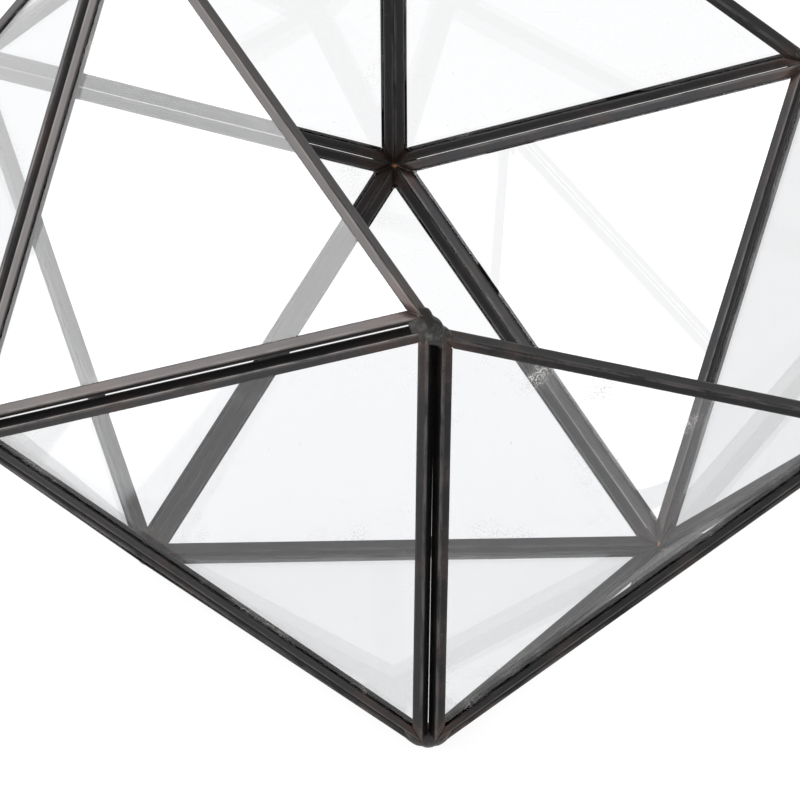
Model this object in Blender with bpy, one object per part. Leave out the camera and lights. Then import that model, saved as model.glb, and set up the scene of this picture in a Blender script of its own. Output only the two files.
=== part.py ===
# Faceted glass terrarium, empty: a solid of twenty equal triangles standing on one of them.
# The five panes round one upper corner are left out, and their outline is the five-sided mouth.
# Each pane sits in its own folded metal channel, and a lump of solder joins the channels at each corner.

import math

import bmesh
import bpy
from mathutils import Matrix, Vector

MM = 0.001

# Driving sizes
EDGE = 150.0 * MM  # from corner to corner along every edge of the solid
GLASS_THICKNESS = 3.0 * MM
SHEET = 0.4 * MM  # metal that the channels are folded from
CLEARANCE = 0.3 * MM  # between pieces that touch each other
LIP = 2.75 * MM  # depth of a channel, from its back to the edge of its lips
SEAM = 0.5 * MM  # slit between two channels along a shared edge
SOLDER_RADIUS = 5.0 * MM
SOLDER_SINK = 2.6 * MM  # how far a lump's middle lies inside its corner
FOOT_CLEARANCE = 0.1 * MM  # the lumps under the base stay off the table by this much
BALL_SEGMENTS = 20
BALL_RINGS = 12
MESH_WELD = 0.001 * MM

# How far each corner was off its true place when it was soldered by hand: right, back and up, in mm
OFF_TRUE = {
    "base_front": (1.0, 0.0, 0.0),
    "base_left": (0.0, 0.5, 0.0),
    "waist_back": (1.5, -1.5, -0.5),
    "waist_right": (1.5, -0.5, -1.5),
    "waist_left": (0.5, 0.0, -0.5),
    "shoulder_front": (0.0, 0.0, 1.0),
    "shoulder_right": (-3.0, 0.0, -0.5),
    "shoulder_left": (0.5, 1.0, 2.5),
    "crown_left": (-1.0, 0.0, 0.5),
    "crown_back": (-1.5, 0.0, -0.5),
}
CENTRING = Vector((-1.0, 0.75, 0.0)) * MM  # puts the middle of the whole over the origin

# Worked out from the driving sizes
GOLDEN = (1.0 + math.sqrt(5.0)) / 2.0
SMALL_RADIUS = EDGE / math.sqrt(3.0)  # of the base and crown triangles
LARGE_RADIUS = EDGE * GOLDEN / math.sqrt(3.0)  # of the waist and shoulder triangles
WAIST_HEIGHT = EDGE / math.sqrt(3.0)
CROWN_HEIGHT = EDGE * GOLDEN**2 / math.sqrt(3.0)
SHOULDER_HEIGHT = CROWN_HEIGHT - WAIST_HEIGHT
INSIDE_RADIUS = CROWN_HEIGHT / 2.0  # from the middle of the solid to the middle of a pane
CHANNEL_THICKNESS = GLASS_THICKNESS + 2.0 * (CLEARANCE + SHEET)
BASE_LIFT = CHANNEL_THICKNESS / 2.0  # puts the underside of the base channel at height zero
MIDDLE = CENTRING + Vector((0.0, 0.0, BASE_LIFT + INSIDE_RADIUS))
HALF_TURN = math.asin(1.0 / (GOLDEN * math.sqrt(3.0)))  # half the turn from one pane to the next
INNER_CORNER = CHANNEL_THICKNESS / 2.0 * math.sin(HALF_TURN)
SETBACK = (SEAM / 2.0 + INNER_CORNER) / math.cos(HALF_TURN)  # from an edge to a channel's back

# Four triangles of corners, one above the other: radius, height, and the corners by direction
LEVELS = {
    "base": (SMALL_RADIUS, 0.0, {"front": -90, "right": 30, "left": 150}),
    "waist": (LARGE_RADIUS, WAIST_HEIGHT, {"back": 90, "right": -30, "left": -150}),
    "shoulder": (LARGE_RADIUS, SHOULDER_HEIGHT, {"front": -90, "right": 30, "left": 150}),
    "crown": (SMALL_RADIUS, CROWN_HEIGHT, {"back": 90, "right": -30, "left": -150}),
}
OPEN_CORNER = "crown_right"  # the mouth is where the panes round this corner would be

PANES = {
    "bottom": ("base_front", "base_right", "base_left"),
    "front_left": ("shoulder_front", "base_front", "waist_left"),
    "front_right": ("shoulder_front", "base_front", "waist_right"),
    "lower_left": ("base_front", "waist_left", "base_left"),
    "lower_right": ("base_front", "waist_right", "base_right"),
    "lower_back": ("waist_back", "base_left", "base_right"),
    "left": ("waist_left", "shoulder_left", "base_left"),
    "right": ("waist_right", "shoulder_right", "base_right"),
    "back_left": ("waist_back", "base_left", "shoulder_left"),
    "back_right": ("waist_back", "base_right", "shoulder_right"),
    "upper_front_left": ("shoulder_front", "waist_left", "crown_left"),
    "upper_left": ("waist_left", "crown_left", "shoulder_left"),
    "upper_back_left": ("waist_back", "shoulder_left", "crown_back"),
    "upper_back_right": ("waist_back", "shoulder_right", "crown_back"),
    "top_left": ("shoulder_left", "crown_left", "crown_back"),
}

# One pane was cut short at its top, so the mouth's rim over it drops towards the front corner
SHORT_PANE = "front_right"
SHORT_AT = "shoulder_front"
SHORT_TOWARDS = "base_front"
RIM_DROP = 2.0 * MM


def clear_scene():
    """Removes every object that the file was opened with."""
    for old in list(bpy.data.objects):
        bpy.data.objects.remove(old, do_unlink=True)


def new_collection(name):
    """Makes a collection in the scene."""
    made = bpy.data.collections.new(name)
    bpy.context.scene.collection.children.link(made)
    return made


def principled(name, colour, metallic, roughness):
    """Makes a material with one Principled shader, and returns it with that shader."""
    made = bpy.data.materials.new(name)
    made.use_nodes = True
    shader = made.node_tree.nodes["Principled BSDF"]
    shader.inputs["Base Color"].default_value = (*colour, 1.0)
    shader.inputs["Metallic"].default_value = metallic
    shader.inputs["Roughness"].default_value = roughness
    return made, shader


def patina_material():
    """Black patina on the folded channels."""
    return principled("black_patina", (0.035, 0.030, 0.028), 0.85, 0.42)[0]


def solder_material():
    """Solder, darkened and a little shinier than the channels."""
    return principled("dark_solder", (0.060, 0.062, 0.055), 0.95, 0.33)[0]


def glass_material():
    """Clear window glass."""
    made, shader = principled("clear_glass", (0.94, 0.97, 0.96), 0.0, 0.02)
    shader.inputs["Transmission Weight"].default_value = 1.0
    shader.inputs["IOR"].default_value = 1.52
    return made


def corner_places():
    """The place of each corner by name, the open one included."""
    places = {}
    for level, (radius, height, directions) in LEVELS.items():
        for side, degrees in directions.items():
            angle = math.radians(degrees)
            name = f"{level}_{side}"
            true_place = Vector((radius * math.cos(angle), radius * math.sin(angle), BASE_LIFT + height))
            drift = Vector(OFF_TRUE.get(name, (0.0, 0.0, 0.0))) * MM
            places[name] = true_place + drift + CENTRING
    return places


def pane_places(pane, corners, places):
    """The places of a pane's three corners, with the short pane's top moved down along its edge."""
    found = [places[corner].copy() for corner in corners]
    if pane == SHORT_PANE:
        edge = places[SHORT_TOWARDS] - places[SHORT_AT]
        found[corners.index(SHORT_AT)] += edge.normalized() * RIM_DROP
    return found


def pane_frame(corners):
    """The pane's own frame, with Z facing out, and its three corners as flat points in it."""
    centre = sum(corners, Vector()) / 3.0
    along = (corners[1] - corners[0]).normalized()
    out = along.cross(corners[2] - corners[0]).normalized()
    if out.dot(centre - MIDDLE) < 0.0:
        out.negate()
    across = out.cross(along)
    turn = Matrix((along, across, out)).transposed().to_4x4()
    frame = Matrix.Translation(centre) @ turn
    to_frame = frame.inverted()
    return frame, [(to_frame @ corner).to_2d() for corner in corners]


def inset(triangle, distance):
    """The triangle with all three sides moved in by the distance, shrunk about its incentre."""
    opposite = [(triangle[i - 1] - triangle[i - 2]).length for i in range(3)]
    round_all = sum(opposite)
    incentre = sum((point * side for point, side in zip(triangle, opposite)), Vector((0.0, 0.0))) / round_all
    area = abs((triangle[1] - triangle[0]).cross(triangle[2] - triangle[0])) / 2.0
    inradius = 2.0 * area / round_all
    scale = (inradius - distance) / inradius
    return [incentre + (point - incentre) * scale for point in triangle]


def nipped(triangle, reach):
    """The triangle with each tip cut off square, at this distance along its bisector."""
    points = []
    for i in range(3):
        tip = triangle[i]
        before = (triangle[i - 1] - tip).normalized()
        after = (triangle[(i + 1) % 3] - tip).normalized()
        bisector = (before + after).normalized()
        run = reach / bisector.dot(before)
        points.append(tip + before * run)
        points.append(tip + after * run)
    return points


def plate(name, outlines, thickness, frame, collection):
    """A flat plate centred on the frame's plane. The first outline is its edge, any other a hole."""
    curve = bpy.data.curves.new(name, "CURVE")
    curve.dimensions = "2D"
    curve.fill_mode = "BOTH"
    curve.extrude = thickness / 2.0
    for outline in outlines:
        spline = curve.splines.new("POLY")
        spline.points.add(len(outline) - 1)
        for point, (x, y) in zip(spline.points, outline):
            point.co = (x, y, 0.0, 1.0)
        spline.use_cyclic_u = True
    drawn = bpy.data.objects.new(name, curve)
    collection.objects.link(drawn)
    drawn.matrix_world = frame
    bpy.context.view_layer.update()
    drawn_now = drawn.evaluated_get(bpy.context.evaluated_depsgraph_get())
    mesh = bpy.data.meshes.new_from_object(drawn_now)
    bpy.data.objects.remove(drawn)
    bpy.data.curves.remove(curve)
    work = bmesh.new()
    work.from_mesh(mesh)
    bmesh.ops.remove_doubles(work, verts=work.verts, dist=MESH_WELD)
    bmesh.ops.recalc_face_normals(work, faces=work.faces)
    work.to_mesh(mesh)
    work.free()
    made = bpy.data.objects.new(name, mesh)
    collection.objects.link(made)
    made.matrix_world = frame
    return made


def ball(name, centre, radius, collection):
    """A faceted ball."""
    mesh = bpy.data.meshes.new(name)
    work = bmesh.new()
    bmesh.ops.create_uvsphere(work, u_segments=BALL_SEGMENTS, v_segments=BALL_RINGS, radius=radius)
    work.to_mesh(mesh)
    work.free()
    made = bpy.data.objects.new(name, mesh)
    made.location = centre
    collection.objects.link(made)
    return made


def hide_cutter(cutter):
    """Marks an object as a tool for cutting, and not as a piece."""
    cutter.hide_render = True
    cutter.display_type = "WIRE"


def cut(piece, cutter):
    """Takes the cutter's shape out of the piece."""
    boolean = piece.modifiers.new(cutter.name, "BOOLEAN")
    boolean.operation = "DIFFERENCE"
    boolean.solver = "EXACT"
    boolean.object = cutter


def lump_centre(corner):
    """The middle of the solder lump, a little inside its corner."""
    return corner + (MIDDLE - corner).normalized() * SOLDER_SINK


def room_cutter(places, cutters):
    """The room inside the panes, faced by the inner sides of the channels."""
    mesh = bpy.data.meshes.new("room_cutter")
    work = bmesh.new()
    shrink = (INSIDE_RADIUS - CHANNEL_THICKNESS / 2.0) / INSIDE_RADIUS
    for place in places.values():
        work.verts.new(MIDDLE + (place - MIDDLE) * shrink)
    bmesh.ops.convex_hull(work, input=work.verts)
    work.to_mesh(mesh)
    work.free()
    made = bpy.data.objects.new("room_cutter", mesh)
    cutters.objects.link(made)
    hide_cutter(made)
    return made


def table_cutter(cutters):
    """The space under the terrarium, which trims the lumps at the base."""
    side = 4.0 * EDGE
    bpy.ops.mesh.primitive_cube_add(size=side, location=(0.0, 0.0, FOOT_CLEARANCE - side / 2.0))
    made = bpy.context.object
    made.name = "table_cutter"
    for owner in list(made.users_collection):
        owner.objects.unlink(made)
    cutters.objects.link(made)
    hide_cutter(made)
    return made


def make_channel(pane, triangle, frame, pieces):
    """The folded channel round one pane, as a flat ring that is still solid."""
    back = inset(triangle, SETBACK)
    lip_edge = inset(triangle, SETBACK + LIP)
    return plate(f"channel_{pane}", [back, lip_edge], CHANNEL_THICKNESS, frame, pieces)


def make_slot(pane, triangle, frame, cutters):
    """The slot for the glass, which opens all along the inside of the ring."""
    floor = inset(triangle, SETBACK + SHEET)
    slot = plate(f"slot_{pane}", [floor], CHANNEL_THICKNESS - 2.0 * SHEET, frame, cutters)
    hide_cutter(slot)
    return slot


def make_glass(pane, triangle, frame, pieces):
    """One pane: a flat triangle with nipped tips, a clearance inside its channel."""
    outline = inset(triangle, SETBACK + SHEET + CLEARANCE)
    corner_to_tip = 2.0 * (SETBACK + SHEET + CLEARANCE)
    reach = SOLDER_SINK + SOLDER_RADIUS - corner_to_tip
    return plate(f"glass_{pane}", [nipped(outline, reach)], GLASS_THICKNESS, frame, pieces)


def make_lump(corner, place, pieces):
    """One lump of solder, as a whole ball over its corner."""
    return ball(f"solder_{corner}", lump_centre(place), SOLDER_RADIUS, pieces)


def make_pit(corner, place, cutters):
    """The hollow that a lump fills at the tips of the channels, a clearance wider than the lump."""
    pit = ball(f"pit_{corner}", lump_centre(place), SOLDER_RADIUS + CLEARANCE, cutters)
    hide_cutter(pit)
    return pit


def give(made, material, whole):
    """Gives like pieces their material, and hangs them on the terrarium's empty."""
    for piece in made:
        piece.data.materials.clear()
        piece.data.materials.append(material)
        piece.parent = whole


def main():
    clear_scene()
    pieces = new_collection("terrarium")
    cutters = new_collection("cutters")
    whole = bpy.data.objects.new("terrarium", None)
    pieces.objects.link(whole)

    places = corner_places()
    room = room_cutter(places, cutters)
    table = table_cutter(cutters)
    del places[OPEN_CORNER]
    lumps = {corner: make_lump(corner, place, pieces) for corner, place in places.items()}
    pits = {corner: make_pit(corner, place, cutters) for corner, place in places.items()}
    channels, slots, panes = {}, {}, {}
    for pane, corners in PANES.items():
        frame, triangle = pane_frame(pane_places(pane, corners, places))
        channels[pane] = make_channel(pane, triangle, frame, pieces)
        slots[pane] = make_slot(pane, triangle, frame, cutters)
        panes[pane] = make_glass(pane, triangle, frame, pieces)

    for pane, corners in PANES.items():
        cut(channels[pane], slots[pane])
        for corner in corners:
            cut(channels[pane], pits[corner])
    for corner, lump in lumps.items():
        cut(lump, room)
        if corner.startswith("base"):
            cut(lump, table)

    give(channels.values(), patina_material(), whole)
    give(panes.values(), glass_material(), whole)
    give(lumps.values(), solder_material(), whole)


main()
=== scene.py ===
import math

import bmesh
import bpy
from bpy.props import FloatProperty, FloatVectorProperty, PointerProperty
from mathutils import Matrix, Vector, noise


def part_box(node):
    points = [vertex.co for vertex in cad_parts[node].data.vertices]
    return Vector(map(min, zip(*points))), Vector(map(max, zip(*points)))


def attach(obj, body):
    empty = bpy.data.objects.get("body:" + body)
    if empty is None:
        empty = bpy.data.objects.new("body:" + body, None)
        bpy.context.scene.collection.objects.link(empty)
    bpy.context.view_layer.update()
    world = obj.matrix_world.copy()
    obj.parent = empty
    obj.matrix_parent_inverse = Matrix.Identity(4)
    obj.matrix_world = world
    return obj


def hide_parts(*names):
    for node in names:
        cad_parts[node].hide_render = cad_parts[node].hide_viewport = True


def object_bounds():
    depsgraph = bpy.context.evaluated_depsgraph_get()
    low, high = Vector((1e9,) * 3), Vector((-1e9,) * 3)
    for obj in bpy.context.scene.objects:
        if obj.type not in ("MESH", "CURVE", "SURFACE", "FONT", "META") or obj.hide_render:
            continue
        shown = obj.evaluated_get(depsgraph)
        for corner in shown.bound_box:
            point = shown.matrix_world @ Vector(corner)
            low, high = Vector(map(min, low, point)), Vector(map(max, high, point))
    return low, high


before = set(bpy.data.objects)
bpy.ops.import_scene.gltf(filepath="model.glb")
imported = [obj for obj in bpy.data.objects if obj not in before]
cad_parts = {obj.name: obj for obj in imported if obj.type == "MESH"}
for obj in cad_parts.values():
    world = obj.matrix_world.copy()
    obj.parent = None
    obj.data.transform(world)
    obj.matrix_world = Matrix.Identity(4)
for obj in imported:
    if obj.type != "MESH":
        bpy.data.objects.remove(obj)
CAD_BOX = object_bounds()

bl_info = {
    "name": "Faceted glass terrarium",
    "version": (1, 0, 0),
    "blender": (4, 5, 0),
    "location": "3D View > Sidebar > Terrarium",
    "description": "Dresses the faceted terrarium: folded channels, panes, solder and a studio table",
    "category": "Add Mesh",
}

MM = 0.001
BODY = "root"

# How far each corner was off its true place when it was soldered by hand: right, back and up, in mm
OFF_TRUE = {
    "base_front": (1.0, 0.0, 0.0),
    "base_left": (0.0, 0.5, 0.0),
    "waist_back": (1.5, -1.5, -0.5),
    "waist_right": (1.5, -0.5, -1.5),
    "waist_left": (0.5, 0.0, -0.5),
    "shoulder_front": (0.0, 0.0, 1.0),
    "shoulder_right": (-3.0, 0.0, -0.5),
    "shoulder_left": (0.5, 1.0, 2.5),
    "crown_left": (-1.0, 0.0, 0.5),
    "crown_back": (-1.5, 0.0, -0.5),
}
CENTRING = Vector((-1.0, 0.75, 0.0)) * MM  # puts the middle of the whole over the origin
# One pane was cut short at its top, so the mouth's rim over it drops towards the front corner
SHORT_PANE, SHORT_AT, SHORT_TOWARDS = "front_right", "shoulder_front", "base_front"
RIM_DROP = 2.0 * MM
# Slits between two channels, in mm at each end of a shared edge: below 0 they touch and let no light through
SLITS = {
    ("shoulder_front", "waist_left"): (0.30, 0.34),
    ("shoulder_front", "base_front"): (-0.10, 0.14),
    ("waist_back", "shoulder_right"): (0.10, 0.10),
    ("waist_back", "shoulder_left"): (0.08, 0.06),
    ("waist_back", "base_right"): (0.01, 0.10),
    ("waist_left", "shoulder_left"): (0.20, 0.20),
    ("base_right", "shoulder_right"): (0.0, 0.10),
}
TOUCHING = (-0.08, -0.08)  # the same at every other edge
# Painted light and shade on some channels: below 0 darker than the others as painted shade, above 0 lighter
# in the worn colour as painted light
PAINTED_LIGHT_AND_SHADE = {
    "front_right": -0.40,
    "lower_right": -0.35,
    "lower_left": -0.20,
    "upper_front_left": 0.42,
    "upper_left": 0.15,
}

# Directions of the corners on the four levels, seen from above: degrees from the right
BASE_SIDES = {"front": -90, "right": 30, "left": 150}
WAIST_SIDES = {"back": 90, "right": -30, "left": -150}
GOLDEN = (1.0 + math.sqrt(5.0)) / 2.0
HALF_TURN = math.asin(1.0 / (GOLDEN * math.sqrt(3.0)))  # half the turn from one pane to the next
OPEN_CORNER = "crown_right"

PANES = {
    "bottom": ("base_front", "base_right", "base_left"),
    "front_left": ("shoulder_front", "base_front", "waist_left"),
    "front_right": ("shoulder_front", "base_front", "waist_right"),
    "lower_left": ("base_front", "waist_left", "base_left"),
    "lower_right": ("base_front", "waist_right", "base_right"),
    "lower_back": ("waist_back", "base_left", "base_right"),
    "left": ("waist_left", "shoulder_left", "base_left"),
    "right": ("waist_right", "shoulder_right", "base_right"),
    "back_left": ("waist_back", "base_left", "shoulder_left"),
    "back_right": ("waist_back", "base_right", "shoulder_right"),
    "upper_front_left": ("shoulder_front", "waist_left", "crown_left"),
    "upper_left": ("waist_left", "crown_left", "shoulder_left"),
    "upper_back_left": ("waist_back", "shoulder_left", "crown_back"),
    "upper_back_right": ("waist_back", "shoulder_right", "crown_back"),
    "top_left": ("shoulder_left", "crown_left", "crown_back"),
}
# Where panes would meet the open corner: these planes bound the solder at the mouth
MOUTH_PANES = (
    ("shoulder_front", "waist_right", "crown_right"),
    ("waist_right", "shoulder_right", "crown_right"),
    ("shoulder_right", "crown_right", "crown_back"),
    ("crown_back", "crown_right", "crown_left"),
    ("shoulder_front", "crown_right", "crown_left"),
)

# The rim of the mouth runs from each of these to the next
RIM = ("shoulder_front", "waist_right", "shoulder_right", "crown_back", "crown_left")
RIM_EDGES = {frozenset((RIM[i - 1], RIM[i])) for i in range(len(RIM))}


class TerrariumSizes(bpy.types.PropertyGroup):
    """Sizes of the glass, the folded channels and the solder."""

    edge: FloatProperty(
        name="Edge", description="From corner to corner along every edge of the solid",
        default=150.0 * MM, min=0.05, unit="LENGTH",
    )
    glass: FloatProperty(
        name="Glass", description="Thickness of the panes", default=3.0 * MM, min=0.001, unit="LENGTH",
    )
    channel: FloatProperty(
        name="Channel", description="Thickness of a channel over both lips",
        default=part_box("channel_bottom")[1][2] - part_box("channel_bottom")[0][2], min=0.002, unit="LENGTH",
    )
    lip: FloatProperty(
        name="Lip", description="Depth of a channel, from its back to the edge of its lips",
        default=2.75 * MM, min=0.001, unit="LENGTH",
    )
    sheet: FloatProperty(
        name="Sheet", description="Thickness of the metal that the channels are folded from",
        default=0.4 * MM, min=0.0001, unit="LENGTH",
    )
    seam: FloatProperty(
        name="Seam", description="Slit between the two channels along a shared edge",
        default=0.5 * MM, min=0.0, unit="LENGTH",
    )
    fold: FloatProperty(
        name="Fold", description="Outside radius of the channels' folds",
        default=0.45 * MM, min=0.0001, unit="LENGTH",
    )
    inner_fold: FloatProperty(
        name="Inner fold", description="Outside radius of the folds that face the room",
        default=0.30 * MM, min=0.0001, unit="LENGTH",
    )
    solder: FloatProperty(
        name="Solder", description="Radius of the lump of solder at a corner",
        default=3.4 * MM, min=0.001, unit="LENGTH",
    )
    unevenness: FloatProperty(
        name="Unevenness", description="How far hand work leaves the lips out of true",
        default=0.12 * MM, min=0.0, unit="LENGTH",
    )


class TerrariumFinishes(bpy.types.PropertyGroup):
    """Colours of the metal, the solder, the glass and what lies on it."""

    patina: FloatVectorProperty(
        name="Patina", description="Black patina on the channels", subtype="COLOR",
        default=(0.037, 0.0375, 0.039), min=0.0, max=1.0,
    )
    brown: FloatVectorProperty(
        name="Brown", description="Brown where the patina is thin", subtype="COLOR",
        default=(0.058, 0.045, 0.042), min=0.0, max=1.0,
    )
    stain: FloatVectorProperty(
        name="Heat stain", description="Reddish brown beside the solder", subtype="COLOR",
        default=(0.070, 0.045, 0.036), min=0.0, max=1.0,
    )
    # Besides wear, this colour paints a highlight along the folds and painted light on lighter channels
    worn_and_lit: FloatVectorProperty(
        name="Worn", description="Lighter metal along rubbed folds", subtype="COLOR",
        default=(0.140, 0.128, 0.124), min=0.0, max=1.0,
    )
    solder: FloatVectorProperty(
        name="Solder", description="Darkened solder", subtype="COLOR",
        default=(0.040, 0.039, 0.038), min=0.0, max=1.0,
    )
    # rubbed solder and a painted highlight: lighter greenish grey patches
    solder_rubbed_and_highlight: FloatVectorProperty(
        name="Solder high spots", description="Greenish grey of rubbed solder", subtype="COLOR",
        default=(0.120, 0.122, 0.114), min=0.0, max=1.0,
    )
    copper: FloatVectorProperty(
        name="Copper", description="Bare metal in small spots at two corners", subtype="COLOR",
        default=(0.62, 0.26, 0.10), min=0.0, max=1.0,
    )
    glass: FloatVectorProperty(
        name="Glass", description="Tint of one surface of a pane", subtype="COLOR",
        default=(0.971, 0.973, 0.977), min=0.0, max=1.0,
    )
    dust: FloatVectorProperty(
        name="Dust", description="Dust, flux smears and specks", subtype="COLOR",
        default=(0.72, 0.71, 0.68), min=0.0, max=1.0,
    )
    table: FloatVectorProperty(
        name="Table", description="Pale table top", subtype="COLOR",
        default=(0.12, 0.12, 0.12), min=0.0, max=1.0,
    )


class TerrariumStudio(bpy.types.PropertyGroup):
    """Strength of the studio light."""

    sky: FloatProperty(
        name="Surroundings", description="Brightness of the white surroundings", default=0.80, min=0.0,
    )
    side: FloatProperty(
        name="Side softbox", description="Power of the softbox at the left", default=8.4, min=0.0,
        unit="POWER",
    )
    lens: FloatProperty(
        name="Lens", description="Focal length of the camera", default=242.14, min=1.0, unit="CAMERA",
    )


class Wire:
    """One output socket of a node, with arithmetic that adds Math nodes."""

    def __init__(self, finish, socket):
        self.finish = finish
        self.socket = socket

    def math(self, operation, first, second):
        return self.finish.node("ShaderNodeMath", {"operation": operation}, {0: first, 1: second})

    def __add__(self, other):
        return self.math("ADD", self, other)

    def __radd__(self, other):
        return self.math("ADD", other, self)

    def __sub__(self, other):
        return self.math("SUBTRACT", self, other)

    def __rsub__(self, other):
        return self.math("SUBTRACT", other, self)

    def __mul__(self, other):
        return self.math("MULTIPLY", self, other)

    def __rmul__(self, other):
        return self.math("MULTIPLY", other, self)

    def __abs__(self):
        return self.math("ABSOLUTE", self, 0.0)

    def beside(self, output):
        """Another output of the same node."""
        return Wire(self.finish, self.socket.node.outputs[output])


MIX_FACTOR, MIX_BELOW, MIX_ABOVE, MIX_RESULT = 0, 6, 7, 2  # where the Mix node keeps its sockets for colours


class Finish:
    """A material, and the one method that adds nodes to it."""

    def __init__(self, name):
        self.material = bpy.data.materials.new(name)
        self.material.use_nodes = True
        self.tree = self.material.node_tree
        self.tree.nodes.clear()

    def node(self, kind, settings=None, sockets=None, give=0):
        """Adds a node, with its settings first and then its sockets' values or links."""
        made = self.tree.nodes.new(kind)
        for key, value in (settings or {}).items():
            setattr(made, key, value)
        for key, value in (sockets or {}).items():
            if isinstance(value, Wire):
                self.tree.links.new(value.socket, made.inputs[key])
            else:
                made.inputs[key].default_value = value
        if not made.outputs:
            return None
        return Wire(self, made.outputs[give])

    def painted(self, attribute, output):
        """What the mesh keeps under this name."""
        return self.node("ShaderNodeAttribute", {"attribute_name": attribute}, give=output)

    def noise(self, vector, scale, detail, roughness):
        """An uneven pattern from 0 to 1, with its scale in patches to the metre."""
        sockets = {"Vector": vector, "Scale": scale, "Detail": detail, "Roughness": roughness}
        return self.node("ShaderNodeTexNoise", {}, sockets)

    def ease(self, value, low, high):
        """From 0 at low to 1 at high, with soft ends."""
        return self.node(
            "ShaderNodeMapRange", {"interpolation_type": "SMOOTHSTEP"},
            {"Value": value, "From Min": low, "From Max": high},
        )

    def stretch(self, vector, scale):
        """The vector, with each of its parts at a scale of its own."""
        return self.node("ShaderNodeVectorMath", {"operation": "MULTIPLY"}, {0: vector, 1: scale})

    def blend(self, mask, below, above):
        """The colour below, with the colour above over it where the mask is 1."""
        sockets = {MIX_FACTOR: mask, MIX_BELOW: opaque(below), MIX_ABOVE: opaque(above)}
        return self.node("ShaderNodeMix", {"data_type": "RGBA"}, sockets, give=MIX_RESULT)

    def mix_shaders(self, mask, below, above):
        """The shader below, with the shader above over it where the mask is 1."""
        return self.node("ShaderNodeMixShader", {}, {0: mask, 1: below, 2: above})

    def least(self, first, second):
        return self.node("ShaderNodeMath", {"operation": "MINIMUM"}, {0: first, 1: second})

    def most(self, first, second):
        return self.node("ShaderNodeMath", {"operation": "MAXIMUM"}, {0: first, 1: second})

    def near(self, place, point, reach):
        """1 at the point, fading to 0 at the reach."""
        sockets = {0: place, 1: point}
        away = self.node("ShaderNodeVectorMath", {"operation": "DISTANCE"}, sockets, give="Value")
        return self.ease(away, reach, 0.0)

    def specks(self, vector, scale, size, share):
        """Round specks: in this share of the cells of a random pattern, each this share of a cell wide."""
        away = self.node("ShaderNodeTexVoronoi", {"feature": "F1"}, {"Vector": vector, "Scale": scale})
        chance = self.node("ShaderNodeSeparateColor", {}, {0: away.beside("Color")})
        return self.ease(away, size, size * 0.5) * self.ease(chance, share, share * 0.9)

    def bump(self, height, strength, distance):
        return self.node("ShaderNodeBump", {}, {"Height": height, "Strength": strength, "Distance": distance})

    def show(self, shader):
        self.node("ShaderNodeOutputMaterial", {}, {"Surface": shader})
        return self.material


def opaque(colour):
    """A colour with its alpha, or the wire that brings one."""
    if isinstance(colour, Wire) or len(colour) == 4:
        return colour
    return (*colour, 1.0)


# Geometry that the pieces share

def base_lift(sizes):
    """Puts the underside of the base channel at height zero."""
    return sizes.channel / 2.0


def inside_radius(sizes):
    """From the middle of the solid to the middle of a pane."""
    return sizes.edge * GOLDEN**2 / math.sqrt(3.0) / 2.0


def middle(sizes):
    """The middle of the solid."""
    return CENTRING + Vector((0.0, 0.0, base_lift(sizes) + inside_radius(sizes)))


def setback(sizes):
    """From an edge of the solid to the back of a channel."""
    inner_corner = sizes.channel / 2.0 * math.sin(HALF_TURN)
    return (sizes.seam / 2.0 + inner_corner) / math.cos(HALF_TURN)


def corner_places(sizes):
    """The place of each corner by name, the open one included."""
    small, large = sizes.edge / math.sqrt(3.0), sizes.edge * GOLDEN / math.sqrt(3.0)
    crown = 2.0 * inside_radius(sizes)
    levels = {
        "base": (small, 0.0, BASE_SIDES),
        "waist": (large, small, WAIST_SIDES),
        "shoulder": (large, crown - small, BASE_SIDES),
        "crown": (small, crown, WAIST_SIDES),
    }
    places = {}
    for level, (radius, height, sides) in levels.items():
        for side, degrees in sides.items():
            angle = math.radians(degrees)
            name = f"{level}_{side}"
            lift = base_lift(sizes) + height
            true_place = Vector((radius * math.cos(angle), radius * math.sin(angle), lift))
            drift = Vector(OFF_TRUE.get(name, (0.0, 0.0, 0.0))) * MM
            places[name] = true_place + drift + CENTRING
    return places


def pane_places(pane, corners, places):
    """The places of a pane's three corners, with the short pane's top moved down along its edge."""
    found = [places[corner].copy() for corner in corners]
    if pane == SHORT_PANE:
        edge = places[SHORT_TOWARDS] - places[SHORT_AT]
        found[corners.index(SHORT_AT)] += edge.normalized() * RIM_DROP
    return found


def pane_frame(corners, centre_of_all):
    """The pane's own frame, with Z facing out, and its three corners as flat points in it."""
    centre = sum(corners, Vector()) / 3.0
    along = (corners[1] - corners[0]).normalized()
    out = along.cross(corners[2] - corners[0]).normalized()
    if out.dot(centre - centre_of_all) < 0.0:
        out.negate()
    across = out.cross(along)
    turn = Matrix((along, across, out)).transposed().to_4x4()
    place = Matrix.Translation(centre) @ turn
    to_frame = place.inverted()
    return place, [(to_frame @ corner).to_2d() for corner in corners]


def side_lines(triangle):
    """For each side: its start, its direction, the way inward, its length and its half corner angles."""
    lines = []
    for i in range(3):
        start, end, apex = triangle[i], triangle[(i + 1) % 3], triangle[(i + 2) % 3]
        along = (end - start).normalized()
        inward = Vector((-along.y, along.x))
        if inward.dot(apex - start) < 0.0:
            inward.negate()
        half_start = along.angle(apex - start) / 2.0
        half_end = (-along).angle(apex - end) / 2.0
        lines.append((start, along, inward, (end - start).length, half_start, half_end))
    return lines


def new_piece(name, mesh, material, node):
    """Puts a finished mesh in the scene as a piece that stands for one CAD node."""
    piece = bpy.data.objects.new(name, mesh)
    bpy.context.scene.collection.objects.link(piece)
    mesh.materials.append(material)
    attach(piece, BODY)
    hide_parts(node)
    return piece


# Folded channels

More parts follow.
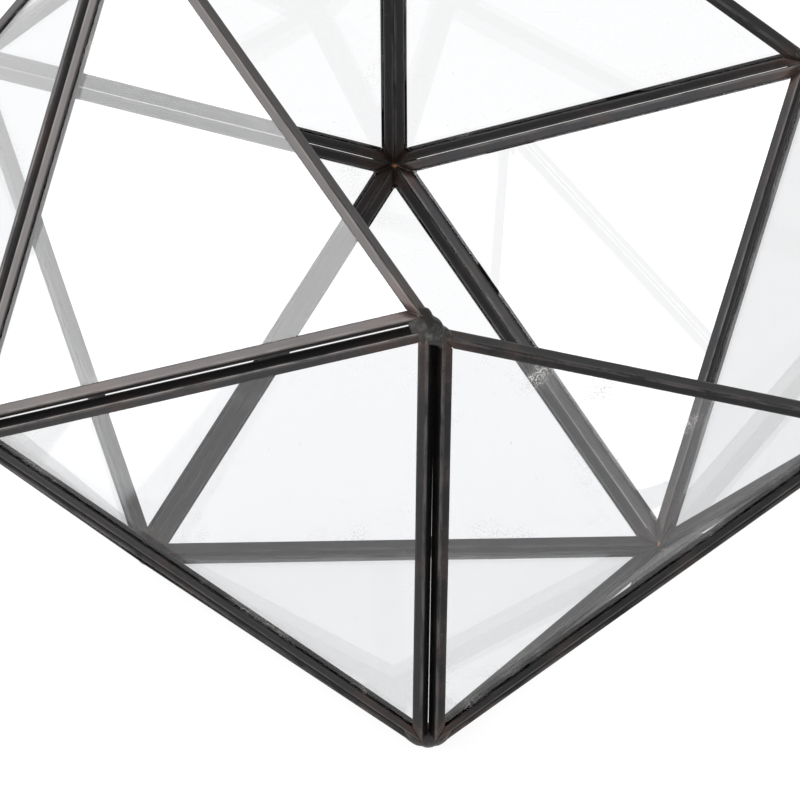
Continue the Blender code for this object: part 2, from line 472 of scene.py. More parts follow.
STATIONS = 36  # rings of points along one leg of a channel
MITRE_GAP = 0.22 * MM  # between the ends of two legs
ARC_STEPS, INNER_ARC_STEPS, LIP_STEPS, WEB_STEPS = 5, 3, 4, 5
LEAST_INNER_FOLD = 0.1 * MM
LIP_BEVEL = 0.28  # of the sheet's thickness
# the lightening of folds and edges is partly wear and partly a painted highlight
LIP_WEAR_AND_HIGHLIGHT, SLOT_WEAR_AND_HIGHLIGHT = 0.35, 0.2  # how rubbed the lips' edges are, next to 1 for the folds
LEAN_DEPTH = 1.1 * MM  # the lean of a channel's back fades out over this depth
LEAN_ARRIVES = 0.925  # the share of it that is left where two channels are nearest
STAIN_REACH = 4.0 * MM  # how far from a corner the patina is stained by the heat of soldering
# How hand work goes along a leg: the length over which it changes, and its share of the unevenness
PRESS_LENGTH, RETREAT_LENGTH, DENT_LENGTH = 40.0 * MM, 33.0 * MM, 17.0 * MM
RETREAT_SHARE, DENT_SHARE = 0.6, 0.5
PRESS_MIDDLE = 0.3  # below a half, so that the lips are pressed in more than they stand out
SEED_STRIDE = 7.31  # takes each seed to a place of its own in the unevenness
RUN_SHIFT, TURN_SHIFT = 0.2, 0.03  # moves the drawn lines on from leg to leg, along the strip and round it


def arc(centre, radius, first_degrees, last_degrees, steps):
    """Points on an arc, both ends included."""
    points = []
    for i in range(steps + 1):
        angle = math.radians(first_degrees + (last_degrees - first_degrees) * i / steps)
        points.append((centre[0] + radius * math.cos(angle), centre[1] + radius * math.sin(angle)))
    return points


def between(first, last, steps):
    """Points between two ends, without the ends."""
    shares = [i / steps for i in range(1, steps)]
    return [(first[0] + (last[0] - first[0]) * s, first[1] + (last[1] - first[1]) * s) for s in shares]


def channel_profile(sizes):
    """The U of a channel, cut across: depth from its back, height from the pane's plane, and how
    much each point lies on an outside fold."""
    half, radius, low_radius = sizes.channel / 2.0, sizes.fold, sizes.inner_fold
    inner = max(radius - sizes.sheet, LEAST_INNER_FOLD)
    edge = sizes.sheet * LIP_BEVEL
    tip = sizes.lip
    top_fold = arc((radius, half - radius), radius, 90, 180, ARC_STEPS)
    low_fold = arc((low_radius, low_radius - half), low_radius, 180, 270, ARC_STEPS)
    under = half - sizes.sheet
    low_inside = arc((sizes.sheet + inner, inner - under), inner, 270, 180, INNER_ARC_STEPS)
    top_inside = arc((sizes.sheet + inner, under - inner), inner, 180, 90, INNER_ARC_STEPS)
    outline = []

    def add(points, worn_and_lit):
        outline.extend((depth, height, worn_and_lit) for depth, height in points)

    add([(tip, half - edge), (tip - edge, half)], LIP_WEAR_AND_HIGHLIGHT)
    add(between((tip - edge, half), top_fold[0], LIP_STEPS), 0.0)
    add(top_fold, 1.0)
    add(between(top_fold[-1], low_fold[0], WEB_STEPS), 0.0)
    add(low_fold, 1.0)
    add(between(low_fold[-1], (tip - edge, -half), LIP_STEPS), 0.0)
    add([(tip - edge, -half), (tip, edge - half)], LIP_WEAR_AND_HIGHLIGHT)
    add([(tip, edge - under), (tip - edge, -under)], SLOT_WEAR_AND_HIGHLIGHT)
    add(low_inside, 0.0)
    add(top_inside, 0.0)
    add([(tip - edge, under), (tip, under - edge)], SLOT_WEAR_AND_HIGHLIGHT)
    return outline


def wander(distance, seed, wavelength):
    """A smooth unevenness from 0 to 1 along a length."""
    return 0.5 + 0.5 * noise.noise(Vector((distance / wavelength, seed * SEED_STRIDE, 0.5)))


def leans_of(first, last, sizes):
    """How far the room side of a channel's back leans towards its neighbour, at both ends of an edge."""
    if frozenset((first, last)) in RIM_EDGES:
        return 0.0, 0.0
    slits = SLITS.get((first, last)) or SLITS.get((last, first), TOUCHING)[::-1]
    rounding = sizes.inner_fold * (math.cos(HALF_TURN) + math.sin(HALF_TURN) - 1.0)
    half_seam = sizes.seam / 2.0 + rounding
    return tuple((half_seam - slit * MM / 2.0) / math.cos(HALF_TURN) / LEAN_ARRIVES for slit in slits)


class LegWork:
    """What folding and fitting by hand did to a leg at one place along it."""

    def __init__(self, distance, seed, sizes):
        self.half = sizes.channel / 2.0
        self.lip = sizes.lip
        uneven = sizes.unevenness
        self.press, self.retreat = {}, {}
        for side in (1.0, -1.0):
            self.press[side] = uneven * (wander(distance, seed + side, PRESS_LENGTH) - PRESS_MIDDLE)
            back_and_forth = wander(distance, seed + side + 3.0, RETREAT_LENGTH) - 0.5
            self.retreat[side] = RETREAT_SHARE * uneven * back_and_forth
        self.dent = DENT_SHARE * uneven * wander(distance, seed + 9.0, DENT_LENGTH)

    def moved(self, depth, height, lean):
        """A point of the profile, moved."""
        to_tip = min(max(depth / self.lip, 0.0), 1.0)
        side = 1.0 if height > 0.0 else -1.0
        inside = 0.5 - 0.5 * height / self.half
        leaning = lean * inside * max(0.0, 1.0 - depth / LEAN_DEPTH)
        dent = self.dent * max(0.0, 1.0 - abs(height) / self.half) * (1.0 - to_tip)
        made_depth = depth - self.retreat[side] * to_tip**3 + dent - leaning
        return made_depth, height - side * self.press[side] * to_tip**2


def channel_mesh(name, corners, triangle, place, seed, tone, sizes):
    """Three folded legs round one pane, mitred at its corners."""
    profile = channel_profile(sizes)
    count = len(profile)
    around = [0.0]
    for (d0, h0, _), (d1, h1, _) in zip(profile, profile[1:]):
        around.append(around[-1] + math.hypot(d1 - d0, h1 - h0))
    around.append(around[-1] + sizes.sheet)
    back = setback(sizes)
    points, folds, stains, faces, marks = [], [], [], [], []
    for leg, (start, along, inward, length, half_start, half_end) in enumerate(side_lines(triangle)):
        leg_seed = seed * 3.0 + leg
        first_lean, last_lean = leans_of(corners[leg], corners[(leg + 1) % 3], sizes)
        first_point = len(points)
        runs = []
        for i in range(STATIONS + 1):
            share = i / STATIONS
            work = LegWork(length * share, leg_seed, sizes)
            lean = first_lean + (last_lean - first_lean) * share
            stain = math.exp(-length * min(share, 1.0 - share) / STAIN_REACH)
            for depth, height, worn_and_lit in profile:
                inset = back + depth
                first = inset / math.tan(half_start) + MITRE_GAP / 2.0 / math.sin(half_start)
                last = length - inset / math.tan(half_end) - MITRE_GAP / 2.0 / math.sin(half_end)
                distance = first + (last - first) * share
                made_depth, made_height = work.moved(depth, height, lean)
                flat = start + along * distance + inward * (back + made_depth)
                points.append(place @ Vector((flat.x, flat.y, made_height)))
                folds.append(worn_and_lit)
                stains.append(stain)
                runs.append(distance + leg_seed * RUN_SHIFT)
        for i in range(STATIONS):
            for j in range(count):
                a, b = i * count + j, i * count + (j + 1) % count
                faces.append(tuple(first_point + k for k in (a, b, b + count, a + count)))
                near, far = around[j], around[j + 1]
                for k, turn in ((a, near), (b, far), (b + count, far), (a + count, near)):
                    marks.append((runs[k], turn + leg_seed * TURN_SHIFT))
        for end in (0, STATIONS * count):
            faces.append(tuple(range(first_point + end, first_point + end + count)))
            marks.extend([(0.0, 0.0)] * count)
    mesh = bpy.data.meshes.new(name)
    mesh.from_pydata(points, [], faces)
    strip = mesh.uv_layers.new(name="strip")
    strip.uv.foreach_set("vector", [value for mark in marks for value in mark])
    # fold carries wear and a painted highlight; tone carries the channel's painted light and shade
    for kind, values in (("fold", folds), ("stain", stains), ("tone", [tone] * len(points))):
        attribute = mesh.attributes.new(kind, "FLOAT", "POINT")
        attribute.data.foreach_set("value", values)
    work = bmesh.new()
    work.from_mesh(mesh)
    for face in work.faces:
        face.smooth = len(face.verts) == 4
    bmesh.ops.recalc_face_normals(work, faces=work.faces)
    work.to_mesh(mesh)
    work.free()
    return mesh


PAINTED_SHADE_BLACK, DRAWN_LINE = (0.0, 0.0, 0.0), (0.008, 0.008, 0.009)


def patina_finish(finishes):
    """Black patina on folded strip: faint brown clouds, heat stains by the solder, drawn lines, rubbed
    folds with a painted highlight and a few white specks. Darker channels get painted shade and lighter ones
    painted light."""
    f = Finish("black_patina_rubbed_painted_light")
    place = f.node("ShaderNodeTexCoord", give="Object")
    strip = f.node("ShaderNodeUVMap", {"uv_map": "strip"})
    fold, stain, tone = (f.painted(kind, "Fac") for kind in ("fold", "stain", "tone"))
    clouds = f.noise(place, scale=48.0, detail=4.0, roughness=0.6)
    mottle = f.noise(place, scale=900.0, detail=3.0, roughness=0.65)
    lines = f.noise(f.stretch(strip, (60.0, 5200.0, 1.0)), scale=1.0, detail=1.0, roughness=0.5)
    long_rub = f.noise(f.stretch(strip, (90.0, 900.0, 1.0)), scale=1.0, detail=3.0, roughness=0.6)
    brown = f.ease(clouds + 0.25 * mottle, 0.60, 0.86)
    stained = stain * f.ease(clouds + 0.2 * mottle, 0.36, 0.60)
    # wear and a painted highlight: the folds and lip edges are lightened with the worn colour
    rubbed_and_highlight = fold * f.ease(long_rub + 0.2 * mottle, 0.42, 0.72) * 0.55
    scuffs = f.ease(long_rub + 0.3 * mottle, 0.80, 0.92) * 0.3
    specks = f.ease(mottle, 0.77, 0.80)
    dark = f.ease(lines + 0.6 * mottle, 1.05, 0.55) * 0.25
    # painted shade: a tone below 0 darkens the whole channel towards black
    colour = f.blend(0.0 - tone, finishes.patina, PAINTED_SHADE_BLACK)
    colour = f.blend(brown, colour, finishes.brown)
    # painted light: a tone above 0 lightens the whole channel with the worn colour
    colour = f.blend(tone, colour, finishes.worn_and_lit)
    colour = f.blend(stained, colour, finishes.stain)
    colour = f.blend(dark, colour, DRAWN_LINE)
    colour = f.blend(f.most(rubbed_and_highlight, scuffs), colour, finishes.worn_and_lit)
    colour = f.blend(specks, colour, finishes.dust)
    bare = 1.0 - specks
    roughness = 0.33 + 0.2 * mottle + 0.08 * lines - 0.06 * rubbed_and_highlight + 0.3 * specks
    height = 0.5 * lines + 0.6 * mottle
    shader = f.node("ShaderNodeBsdfPrincipled", {}, {
        "Base Color": colour, "Metallic": 0.92 * bare, "Roughness": roughness,
        "Normal": f.bump(height, strength=0.35, distance=0.025 * MM),
    })
    return f.show(shader)


class TERRARIUM_OT_channels(bpy.types.Operator):
    """Folds a channel round each pane"""

    bl_idname = "terrarium.channels"
    bl_label = "Folded channels"

    def execute(self, context):
        sizes = context.scene.terrarium_sizes
        places = corner_places(sizes)
        material = patina_finish(context.scene.terrarium_finishes)
        for seed, (pane, corners) in enumerate(PANES.items()):
            place, triangle = pane_frame(pane_places(pane, corners, places), middle(sizes))
            name = f"folded_channel_{pane}"
            mesh = channel_mesh(name, corners, triangle, place, seed, PAINTED_LIGHT_AND_SHADE.get(pane, 0.0), sizes)
            new_piece(name, mesh, material, f"channel_{pane}")
        return {"FINISHED"}


# Panes

TIP_CUT = 7.6 * MM  # from a corner of the solid to the square end of a pane's tip
ARRIS = 0.22 * MM  # the ground edge of the glass
FIT = 0.3 * MM  # between the glass and the floor of its slot
# painted shade: these panes get a darker tint of their own
DARKER_PANES = {"right": 0.95, "left": 0.985}  # panes seen at a low angle look darker: share of the tint
# Flux smeared on the front right pane, in mm: along the rim from the front corner, in from the rim, reach
SMEARED_PANE, SMEARED_FROM, SMEARED_TO = "front_right", "shoulder_front", "waist_right"
SMEARS = ((34.0, 7.0, 9.0), (57.0, 7.5, 7.0), (88.0, 12.0, 7.0))
DIRTY_RIM = (14.0 * MM, 4.0 * MM)  # from a pane's side: here the dirt along it starts, and here it is full
GLASS_INDEX = 1.5
CLEAR_SHARE = 0.96  # what is left of light that only passes through
LEAST_DUST = 0.006


def cut_outline(lines, depth, tip_cut):
    """The triangle moved in by the depth, with each tip cut off square at this distance from its corner."""
    points = []
    for start, along, inward, length, half_start, half_end in lines:
        for half, at_start in ((half_start, True), (half_end, False)):
            run = max(tip_cut / math.cos(half) - (depth * math.tan(half)), depth / math.tan(half))
            distance = run if at_start else length - run
            points.append(start + along * distance + inward * depth)
    return points


def pane_mesh(name, triangle, place, sizes):
    """A flat pane with ground edges. Each vertex keeps its distance from the three sides."""
    lines = side_lines(triangle)
    depth = setback(sizes) + sizes.sheet + FIT
    half = sizes.glass / 2.0
    work = bmesh.new()
    sides = work.verts.layers.float_vector.new("from_sides")
    flat_map = work.loops.layers.uv.new("pane")
    levels = ((-half, ARRIS), (ARRIS - half, 0.0), (half - ARRIS, 0.0), (half, ARRIS))
    rings = []
    for height, in_by in levels:
        outline = cut_outline(lines, depth + in_by, TIP_CUT + in_by)
        ring = []
        for point in outline:
            vertex = work.verts.new(Vector((point.x, point.y, height)))
            vertex[sides] = [(point - start).dot(inward) for start, _, inward, _, _, _ in lines]
            ring.append(vertex)
        rings.append(ring)
    count = len(rings[0])
    for lower, upper in zip(rings, rings[1:]):
        for j in range(count):
            k = (j + 1) % count
            work.faces.new((lower[j], lower[k], upper[k], upper[j]))
    work.faces.new(rings[0])
    work.faces.new(rings[-1])
    bmesh.ops.recalc_face_normals(work, faces=work.faces)
    for face in work.faces:
        for loop in face.loops:
            loop[flat_map].uv = loop.vert.co.xy
    bmesh.ops.transform(work, matrix=place, verts=work.verts)
    mesh = bpy.data.meshes.new(name)
    work.to_mesh(mesh)
    work.free()
    return mesh


def smear_places(places):
    """Where flux was smeared on the front right pane, and how far each smear reaches."""
    corners = pane_places(SMEARED_PANE, PANES[SMEARED_PANE], places)
    start = corners[PANES[SMEARED_PANE].index(SMEARED_FROM)]
    end = corners[PANES[SMEARED_PANE].index(SMEARED_TO)]
    along = (end - start).normalized()
    to_middle = sum(corners, Vector()) / 3.0 - start
    inward = (to_middle - along * to_middle.dot(along)).normalized()
    return [(start + along * run * MM + inward * depth * MM, reach * MM) for run, depth, reach in SMEARS]


def glass_finish(finishes, share, smeared):
    """Clear glass that bends what is seen through it, with dust, flux smears by the channels and hair
    scratches. Light that only passes on its way to something else goes straight through."""
    f = Finish("clear_glass_dusty")
    # a share below 1 is painted shade on the darker panes
    tint = tuple(channel * share for channel in finishes.glass)
    seen = f.node("ShaderNodeLightPath", give="Is Camera Ray")
    inside = f.node("ShaderNodeNewGeometry", give="Backfacing")
    looking = (1.0 - inside) * f.most(seen, seen.beside("Is Transmission Ray"))
    leaving = inside * seen.math("MODULO", seen.beside("Transmission Depth"), 2.0)
    passed = tuple(channel * CLEAR_SHARE for channel in tint)
    clear = f.node("ShaderNodeBsdfTransparent", {}, {"Color": opaque(passed)})
    pane = f.node("ShaderNodeBsdfGlass", {}, {"Color": opaque(tint), "Roughness": 0.0, "IOR": GLASS_INDEX})
    clean = f.mix_shaders(looking + leaving, clear, pane)

    place = f.node("ShaderNodeTexCoord", give="Object")
    sides = f.node("ShaderNodeSeparateXYZ", {}, {0: f.painted("from_sides", "Vector")})
    rim = f.ease(f.least(f.least(sides, sides.beside("Y")), sides.beside("Z")), *DIRTY_RIM)
    patches = f.noise(place, scale=62.0, detail=3.0, roughness=0.6)
    grain = f.ease(f.noise(place, scale=2100.0, detail=2.0, roughness=0.7), 0.44, 0.70)
    smears = rim * f.ease(patches, 0.50, 0.70) * grain * 0.42
    for point, reach in smeared:
        smears = f.most(smears, f.near(place, point, reach) * f.ease(patches, 0.30, 0.52) * grain * 1.7)
    specks = f.specks(place, scale=900.0, size=0.13, share=0.14) * (0.04 + 0.5 * f.ease(patches, 0.46, 0.60))
    hair = f.ease(abs(patches - 0.44), 0.0013, 0.0004) * f.ease(grain, 0.1, 0.5) * 0.30
    dusty = f.most(smears, f.most(hair, specks)) + LEAST_DUST
    dirt = f.node("ShaderNodeBsdfDiffuse", {}, {"Color": opaque(finishes.dust)})
    dirty = f.mix_shaders(dusty, clean, dirt)
    return f.show(f.mix_shaders(looking, clean, dirty))


class TERRARIUM_OT_panes(bpy.types.Operator):
    """Cuts a pane of glass for each channel"""

    bl_idname = "terrarium.panes"
    bl_label = "Glass panes"

    def execute(self, context):
        sizes = context.scene.terrarium_sizes
        places = corner_places(sizes)
        finishes = context.scene.terrarium_finishes
        plain = glass_finish(finishes, 1.0, [])
        for pane, corners in PANES.items():
            material = plain
            if pane in DARKER_PANES:
                material = glass_finish(finishes, DARKER_PANES[pane], [])
            elif pane == SMEARED_PANE:
                material = glass_finish(finishes, 1.0, smear_places(places))
            place, triangle = pane_frame(pane_places(pane, corners, places), middle(sizes))
            name = f"pane_{pane}"
            new_piece(name, pane_mesh(name, triangle, place, sizes), material, f"glass_{pane}")
        return {"FINISHED"}


# Solder

FOOT_CLEARANCE = 0.1 * MM
VOXEL = 0.34 * MM
INSIDE_RETREAT = 0.15 * MM  # solder stays this far behind the inner sides of the channels
# The smaller balls that a lump grows from, in mm: how far from the corner, and their radius
TIP_BALL = (2.9, 2.5)  # over the pointed tip of a channel's ring
RIM_TIP_BALL = (3.9, 2.45)  # the same where the channel borders the mouth
LEG_BALLS = ((3.4, 2.5), (4.9, 2.45), (6.3, 2.35))  # on a channel's leg
GROOVE_BALLS = ((2.5, 2.2), (4.2, 2.1), (5.6, 1.9), (6.6, 1.55))  # in the groove between two channels
LEG_DEPTH = 1.4 * MM  # from a channel's back to the middle of the solder on it
RIM_DEPTH = 2.1 * MM  # the same along the mouth, where the back shows
GROOVE_SINK = 0.5 * MM
LUMP_SINK = 0.5 * MM  # the main ball's middle lies this far inside the middle of the tips
RIM_SHARE = 0.80  # along the mouth the balls are this much smaller, so that the rim stays straight
RIM_BALLS = ((3.2, 2.0), (4.6, 1.8))  # on a channel's leg along the mouth
BESIDE_BALLS = ((4.9, 1.9), (6.3, 2.2))  # on the other leg of a channel that borders the mouth
# A ridge from leg to leg along the mouth: how far its ends are from the corner, its radius and its balls
RIDGE_DISTANCE, RIDGE_RADIUS, RIDGE_BALLS = 5.2 * MM, 2.1 * MM, 11
SMOOTHING, SMOOTHING_SHARE = 26, 0.6  # rounds of smoothing, in which the balls run together, and its strength
SWELL = 0.13 * MM  # unevenness of the solder
SWELL_SCALE, SWELL_FALL, SWELL_STEP, SWELL_OCTAVES = 330.0, 0.8, 2.1, 3
BALL_DIVISIONS = 2
BARE = {("base_front", "front_left"), ("base_front", "front_right")}  # here the lips run on over the solder
OPEN_GROOVE = ("base_front", "shoulder_front")  # no solder ran into this one
COPPER_CORNERS, COPPER_DEPTH, COPPER_REACH = ("waist_back", "base_right"), 3.0, 1.6 * MM


def neighbours(corner):
    """The corners that an edge joins to this one."""
    return sorted({other for corners in PANES.values() if corner in corners for other in corners} - {corner})


def on_leg(line, from_start, distance, depth):
    """A place on a leg: so far from one end of its side, and this deep."""
    start, along, across, length, _, _ = line
    run = distance if from_start else length - distance
    return (start + along * run + across * depth).to_3d()


def lump_balls(corner, places, sizes):
    """The balls that a lump grows from: one in the middle, and smaller ones out over the channels."""
    place = places[corner]
    inward = (middle(sizes) - place).normalized()
    share = RIM_SHARE if corner in RIM else 1.0
    tips, balls, ridge_ends = [], [], []
    for pane, corners in PANES.items():
        if corner not in corners or (corner, pane) in BARE:
            continue
        pane_corners = pane_places(pane, corners, places)
        pane_place, triangle = pane_frame(pane_corners, middle(sizes))
        own = pane_corners[corners.index(corner)]
        to_middle = (sum(pane_corners, Vector()) / 3.0 - own).normalized()
        beside = any(frozenset((corner, other)) in RIM_EDGES for other in corners)
        distance, radius = RIM_TIP_BALL if beside else TIP_BALL
        tips.append(own + to_middle * distance * MM)
        balls.append((tips[-1], radius * MM))
        for i, line in enumerate(side_lines(triangle)):
            ends = (corners[i], corners[(i + 1) % 3])
            if corner not in ends:
                continue
            from_start = ends[0] == corner
            on_rim = frozenset(ends) in RIM_EDGES
            depth = setback(sizes) + (RIM_DEPTH if on_rim else LEG_DEPTH)
            row = RIM_BALLS if on_rim else BESIDE_BALLS if beside else LEG_BALLS
            for distance, radius in row:
                balls.append((pane_place @ on_leg(line, from_start, distance * MM, depth), radius * MM))
            if on_rim:
                ridge_ends.append(pane_place @ on_leg(line, from_start, RIDGE_DISTANCE, depth))
    for other in neighbours(corner):
        if frozenset((corner, other)) in RIM_EDGES or (corner, other) == OPEN_GROOVE:
            continue
        along = (places[other] - place).normalized()
        for distance, radius in GROOVE_BALLS:
            balls.append((place + along * distance * MM + inward * GROOVE_SINK, radius * MM))
    if ridge_ends:
        first, last = ridge_ends
        for i in range(RIDGE_BALLS):
            balls.append((first.lerp(last, i / (RIDGE_BALLS - 1)), RIDGE_RADIUS))
    balls.append((sum(tips, Vector()) / len(tips) + inward * LUMP_SINK, sizes.solder * share))
    return balls


def corner_planes(corner, places, sizes):
    """The planes of the panes at a corner, the mouth's missing ones too: a point and the way out."""
    planes = []
    for corners in [*PANES.values(), *MOUTH_PANES]:
        if corner in corners:
            pane_place, _ = pane_frame([places[c] for c in corners], middle(sizes))
            planes.append((pane_place.translation, pane_place.col[2].to_3d()))
    return planes


def flush_inside(point, axis, planes, reach):
    """Moves a point that lies in the room out along the axis, up to the inner sides of the channels."""
    least_move = min((-reach - (point - origin).dot(out)) / axis.dot(out) for origin, out in planes)
    return point + axis * least_move if least_move > 0.0 else point


def run_together(name, balls):
    """One mesh with a closed skin round all the balls, smoothed until they have run together."""
    work = bmesh.new()
    for centre, radius in balls:
        place = Matrix.Translation(centre)
        bmesh.ops.create_icosphere(work, subdivisions=BALL_DIVISIONS, radius=radius, matrix=place)
    rough = bpy.data.meshes.new(name)
    work.to_mesh(rough)
    work.free()
    holder = bpy.data.objects.new(name, rough)
    bpy.context.scene.collection.objects.link(holder)
    remesh = holder.modifiers.new("remesh", "REMESH")
    remesh.mode = "VOXEL"
    remesh.voxel_size = VOXEL
    remesh.use_smooth_shade = True
    smooth = holder.modifiers.new("smooth", "SMOOTH")
    smooth.factor = SMOOTHING_SHARE
    smooth.iterations = SMOOTHING
    bpy.context.view_layer.update()
    shown = holder.evaluated_get(bpy.context.evaluated_depsgraph_get())
    mesh = bpy.data.meshes.new_from_object(shown)
    bpy.data.objects.remove(holder)
    bpy.data.meshes.remove(rough)
    return mesh


def lump_mesh(corner, places, sizes):
    """A lump of solder that has run over the ends of the channels at its corner."""
    mesh = run_together(f"rough_{corner}", lump_balls(corner, places, sizes))
    axis = (places[corner] - middle(sizes)).normalized()
    planes = corner_planes(corner, places, sizes)
    reach = sizes.channel / 2.0 - INSIDE_RETREAT
    low, high = CAD_BOX
    for vertex in mesh.vertices:
        point = vertex.co.copy()
        swell = noise.fractal(point * SWELL_SCALE, SWELL_FALL, SWELL_STEP, SWELL_OCTAVES)
        point += vertex.normal * swell * SWELL
        point = flush_inside(point, axis, planes, reach)
        point = Vector([min(max(value, a), b) for value, a, b in zip(point, low, high)])
        point.z = max(point.z, FOOT_CLEARANCE)
        vertex.co = point
    for polygon in mesh.polygons:
        polygon.use_smooth = True
    mesh.update()
    return mesh


def solder_finish(finishes, spots):
    """Darkened solder: mottled, with greenish grey patches that are rubbed solder and a painted highlight,
    and small spots of bare copper.
    """
    f = Finish("dark_solder_lumpy")
    place = f.node("ShaderNodeTexCoord", give="Object")
    clouds = f.noise(place, scale=210.0, detail=4.0, roughness=0.65)
    mottle = f.noise(place, scale=1300.0, detail=3.0, roughness=0.6)
    # painted highlight together with rubbed solder: greenish grey patches on the lump
    high = f.ease(clouds + 0.2 * mottle, 0.64, 0.90)
    brown = f.ease(f.noise(place, scale=120.0, detail=2.0, roughness=0.5), 0.52, 0.70) * 0.6
    colour = f.blend(brown, finishes.solder, finishes.brown)
    colour = f.blend(high, colour, finishes.solder_rubbed_and_highlight)
    bare = 0.0
    for point in spots:
        ragged = f.ease(f.noise(place, scale=500.0, detail=2.0, roughness=0.6), 0.40, 0.56)
        bare = f.near(place, point, COPPER_REACH) * ragged + bare
    colour = f.blend(f.least(bare, 1.0), colour, finishes.copper)
    roughness = 0.26 + 0.22 * mottle + 0.08 * clouds
    shader = f.node("ShaderNodeBsdfPrincipled", {}, {
        "Base Color": colour, "Metallic": 0.95, "Roughness": roughness,
        "Normal": f.bump(clouds + 0.2 * mottle, strength=0.4, distance=0.10 * MM),
    })
    return f.show(shader)


def copper_spots(places, sizes):
    """Where bare copper shows, on the room side of some corners."""
    centre = middle(sizes)
    spots = [places[corner] for corner in COPPER_CORNERS]
    return [spot + (centre - spot).normalized() * COPPER_DEPTH * MM for spot in spots]


class TERRARIUM_OT_solder(bpy.types.Operator):
    """Runs a lump of solder over each corner"""

    bl_idname = "terrarium.solder"
    bl_label = "Solder"

    def execute(self, context):
        sizes = context.scene.terrarium_sizes
        places = corner_places(sizes)
        material = solder_finish(context.scene.terrarium_finishes, copper_spots(places, sizes))
        for corner in places:
            if corner != OPEN_CORNER:
                mesh = lump_mesh(corner, places, sizes)
                new_piece(f"lump_{corner}", mesh, material, f"solder_{corner}")
        return {"FINISHED"}


# Studio

TABLE_RADIUS = 9.0
TABLE_GLOW = 0.93  # the table is a pale light table, so nothing throws a dark shadow on it
TABLE_MOTTLE = 0.97  # the darker of the table's two tones, as a share of the other
# painted light: a pool of light on the table at the front left, glowing brighter
PAINTED_LIGHT_GLOW = 2.2  # a brighter patch at the front left, which the front left pane mirrors
PATCH_LEFT, PATCH_RIGHT, PATCH_BACK, PATCH_SOFT = -0.149, -0.1235, -0.0983, 0.004  # its sides and their fade
CAMERA_AZIMUTH, CAMERA_ELEVATION = -2.473, 21.621  # degrees
CAMERA_SIDE, CAMERA_UP, CAMERA_BACK = -0.0188, -0.3028, 9.8561  # from the middle, in edges
SENSOR_WIDTH, CLIP_START, CLIP_END = 36.0, 0.05, 50.0
SIDE_DIRECTION = (-0.940, -0.280, 0.190)  # where the upper front left pane's reflection looks
SIDE_DISTANCE, SIDE_WIDTH, SIDE_HEIGHT = 0.95, 0.80, 0.75
WHITE = (1.0, 1.0, 1.0, 1.0)


def table_finish(finishes):
    """Pale light table with a faint unevenness of tone and one patch of painted light that glows brighter."""
    f = Finish("pale_light_table")
    place = f.node("ShaderNodeTexCoord", give="Object")
    right = f.node("ShaderNodeSeparateXYZ", {}, {0: place})
    back = right.beside("Y")
    tone = f.noise(place, scale=1.3, detail=3.0, roughness=0.5)
    darker = tuple(channel * TABLE_MOTTLE for channel in finishes.table)
    past_left = f.ease(right, PATCH_LEFT - PATCH_SOFT, PATCH_LEFT)
    short_of_right = f.ease(right, PATCH_RIGHT + PATCH_SOFT, PATCH_RIGHT)
    in_front = f.ease(back, PATCH_BACK + PATCH_SOFT, PATCH_BACK - 3.0 * PATCH_SOFT)
    # painted light: the patch glows brighter than the rest of the table
    painted_light_patch = past_left * short_of_right * in_front
    lit = tuple(TABLE_GLOW for _ in range(3))
    painted_light_colour = tuple(TABLE_GLOW + PAINTED_LIGHT_GLOW for _ in range(3))
    shader = f.node("ShaderNodeBsdfPrincipled", {}, {
        "Base Color": f.blend(tone, finishes.table, darker), "Roughness": 0.75 + 0.1 * tone,
        "Specular IOR Level": 0.2, "Emission Color": f.blend(painted_light_patch, lit, painted_light_colour), "Emission Strength": 1.0,
    })
    f.material.cycles.emission_sampling = "NONE"
    return f.show(shader)


def area_light(name, power, width, height, place, target):
    """A soft rectangular light that points at a target, and that the camera itself doesn't see."""
    lamp = bpy.data.lights.new(name, "AREA")
    lamp.shape = "RECTANGLE"
    lamp.size = width
    lamp.size_y = height
    lamp.energy = power
    made = bpy.data.objects.new(name, lamp)
    made.visible_camera = False
    made.location = place
    made.rotation_euler = (target - place).to_track_quat("-Z", "Y").to_euler()
    bpy.context.scene.collection.objects.link(made)


def camera_axes():
    """The camera's right, up and back directions."""
    azimuth, elevation = math.radians(CAMERA_AZIMUTH), math.radians(CAMERA_ELEVATION)
    back = Vector((
        math.sin(azimuth) * math.cos(elevation), -math.cos(azimuth) * math.cos(elevation), math.sin(elevation)
    ))
    right = Vector((0.0, 0.0, 1.0)).cross(back).normalized()
    return right, back.cross(right), back


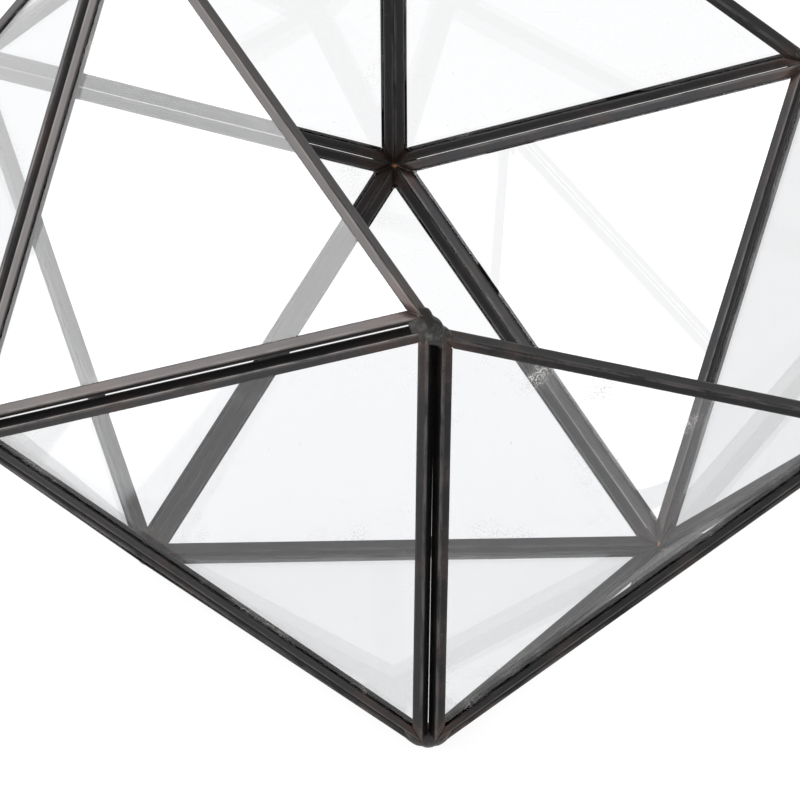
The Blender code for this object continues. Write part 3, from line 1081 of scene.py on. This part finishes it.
class TERRARIUM_OT_studio(bpy.types.Operator):
    """Sets up the pale table, the soft light and the camera"""

    bl_idname = "terrarium.studio"
    bl_label = "Studio"

    def execute(self, context):
        scene = context.scene
        sizes, studio = scene.terrarium_sizes, scene.terrarium_studio
        centre = middle(sizes)

        work = bmesh.new()
        bmesh.ops.create_circle(work, cap_ends=True, segments=96, radius=TABLE_RADIUS)
        mesh = bpy.data.meshes.new("table_top")
        work.to_mesh(mesh)
        work.free()
        mesh.materials.append(table_finish(scene.terrarium_finishes))
        table = bpy.data.objects.new("table_top", mesh)
        scene.collection.objects.link(table)

        side_place = centre + Vector(SIDE_DIRECTION).normalized() * SIDE_DISTANCE
        area_light("side_softbox", studio.side, SIDE_WIDTH, SIDE_HEIGHT, side_place, centre)

        world = bpy.data.worlds.new("white_surroundings")
        world.use_nodes = True
        background = world.node_tree.nodes["Background"]
        background.inputs["Color"].default_value = WHITE
        background.inputs["Strength"].default_value = studio.sky
        scene.world = world

        right, up, back = camera_axes()
        lens = bpy.data.cameras.new("camera")
        lens.lens = studio.lens
        lens.sensor_width = SENSOR_WIDTH
        lens.clip_start, lens.clip_end = CLIP_START, CLIP_END
        camera = bpy.data.objects.new("camera", lens)
        offset = right * CAMERA_SIDE + up * CAMERA_UP + back * CAMERA_BACK
        turn = Matrix((right, up, back)).transposed().to_4x4()
        camera.matrix_world = Matrix.Translation(centre + offset * sizes.edge) @ turn
        scene.collection.objects.link(camera)
        scene.camera = camera

        scene.view_settings.view_transform = "Standard"
        scene.view_settings.look = "None"
        return {"FINISHED"}


class TERRARIUM_PT_sidebar(bpy.types.Panel):
    """Lists the terrarium's pieces and their values"""

    bl_idname = "TERRARIUM_PT_sidebar"
    bl_label = "Terrarium"
    bl_space_type = "VIEW_3D"
    bl_region_type = "UI"
    bl_category = "Terrarium"

    def draw(self, context):
        layout = self.layout
        for operator in OPERATORS:
            layout.operator(operator.bl_idname)
        for group in (
            context.scene.terrarium_sizes, context.scene.terrarium_finishes, context.scene.terrarium_studio
        ):
            box = layout.box()
            for key in group.bl_rna.properties.keys():
                if key not in ("rna_type", "name"):
                    box.prop(group, key)


OPERATORS = (TERRARIUM_OT_channels, TERRARIUM_OT_panes, TERRARIUM_OT_solder, TERRARIUM_OT_studio)
CLASSES = (TerrariumSizes, TerrariumFinishes, TerrariumStudio, *OPERATORS, TERRARIUM_PT_sidebar)


def register():
    for each in CLASSES:
        bpy.utils.register_class(each)
    bpy.types.Scene.terrarium_sizes = PointerProperty(type=TerrariumSizes)
    bpy.types.Scene.terrarium_finishes = PointerProperty(type=TerrariumFinishes)
    bpy.types.Scene.terrarium_studio = PointerProperty(type=TerrariumStudio)


def unregister():
    del bpy.types.Scene.terrarium_studio
    del bpy.types.Scene.terrarium_finishes
    del bpy.types.Scene.terrarium_sizes
    for each in reversed(CLASSES):
        bpy.utils.unregister_class(each)


def main():
    register()
    bpy.ops.terrarium.channels()
    bpy.ops.terrarium.panes()
    bpy.ops.terrarium.solder()
    bpy.ops.terrarium.studio()


if __name__ == "__main__":
    main()
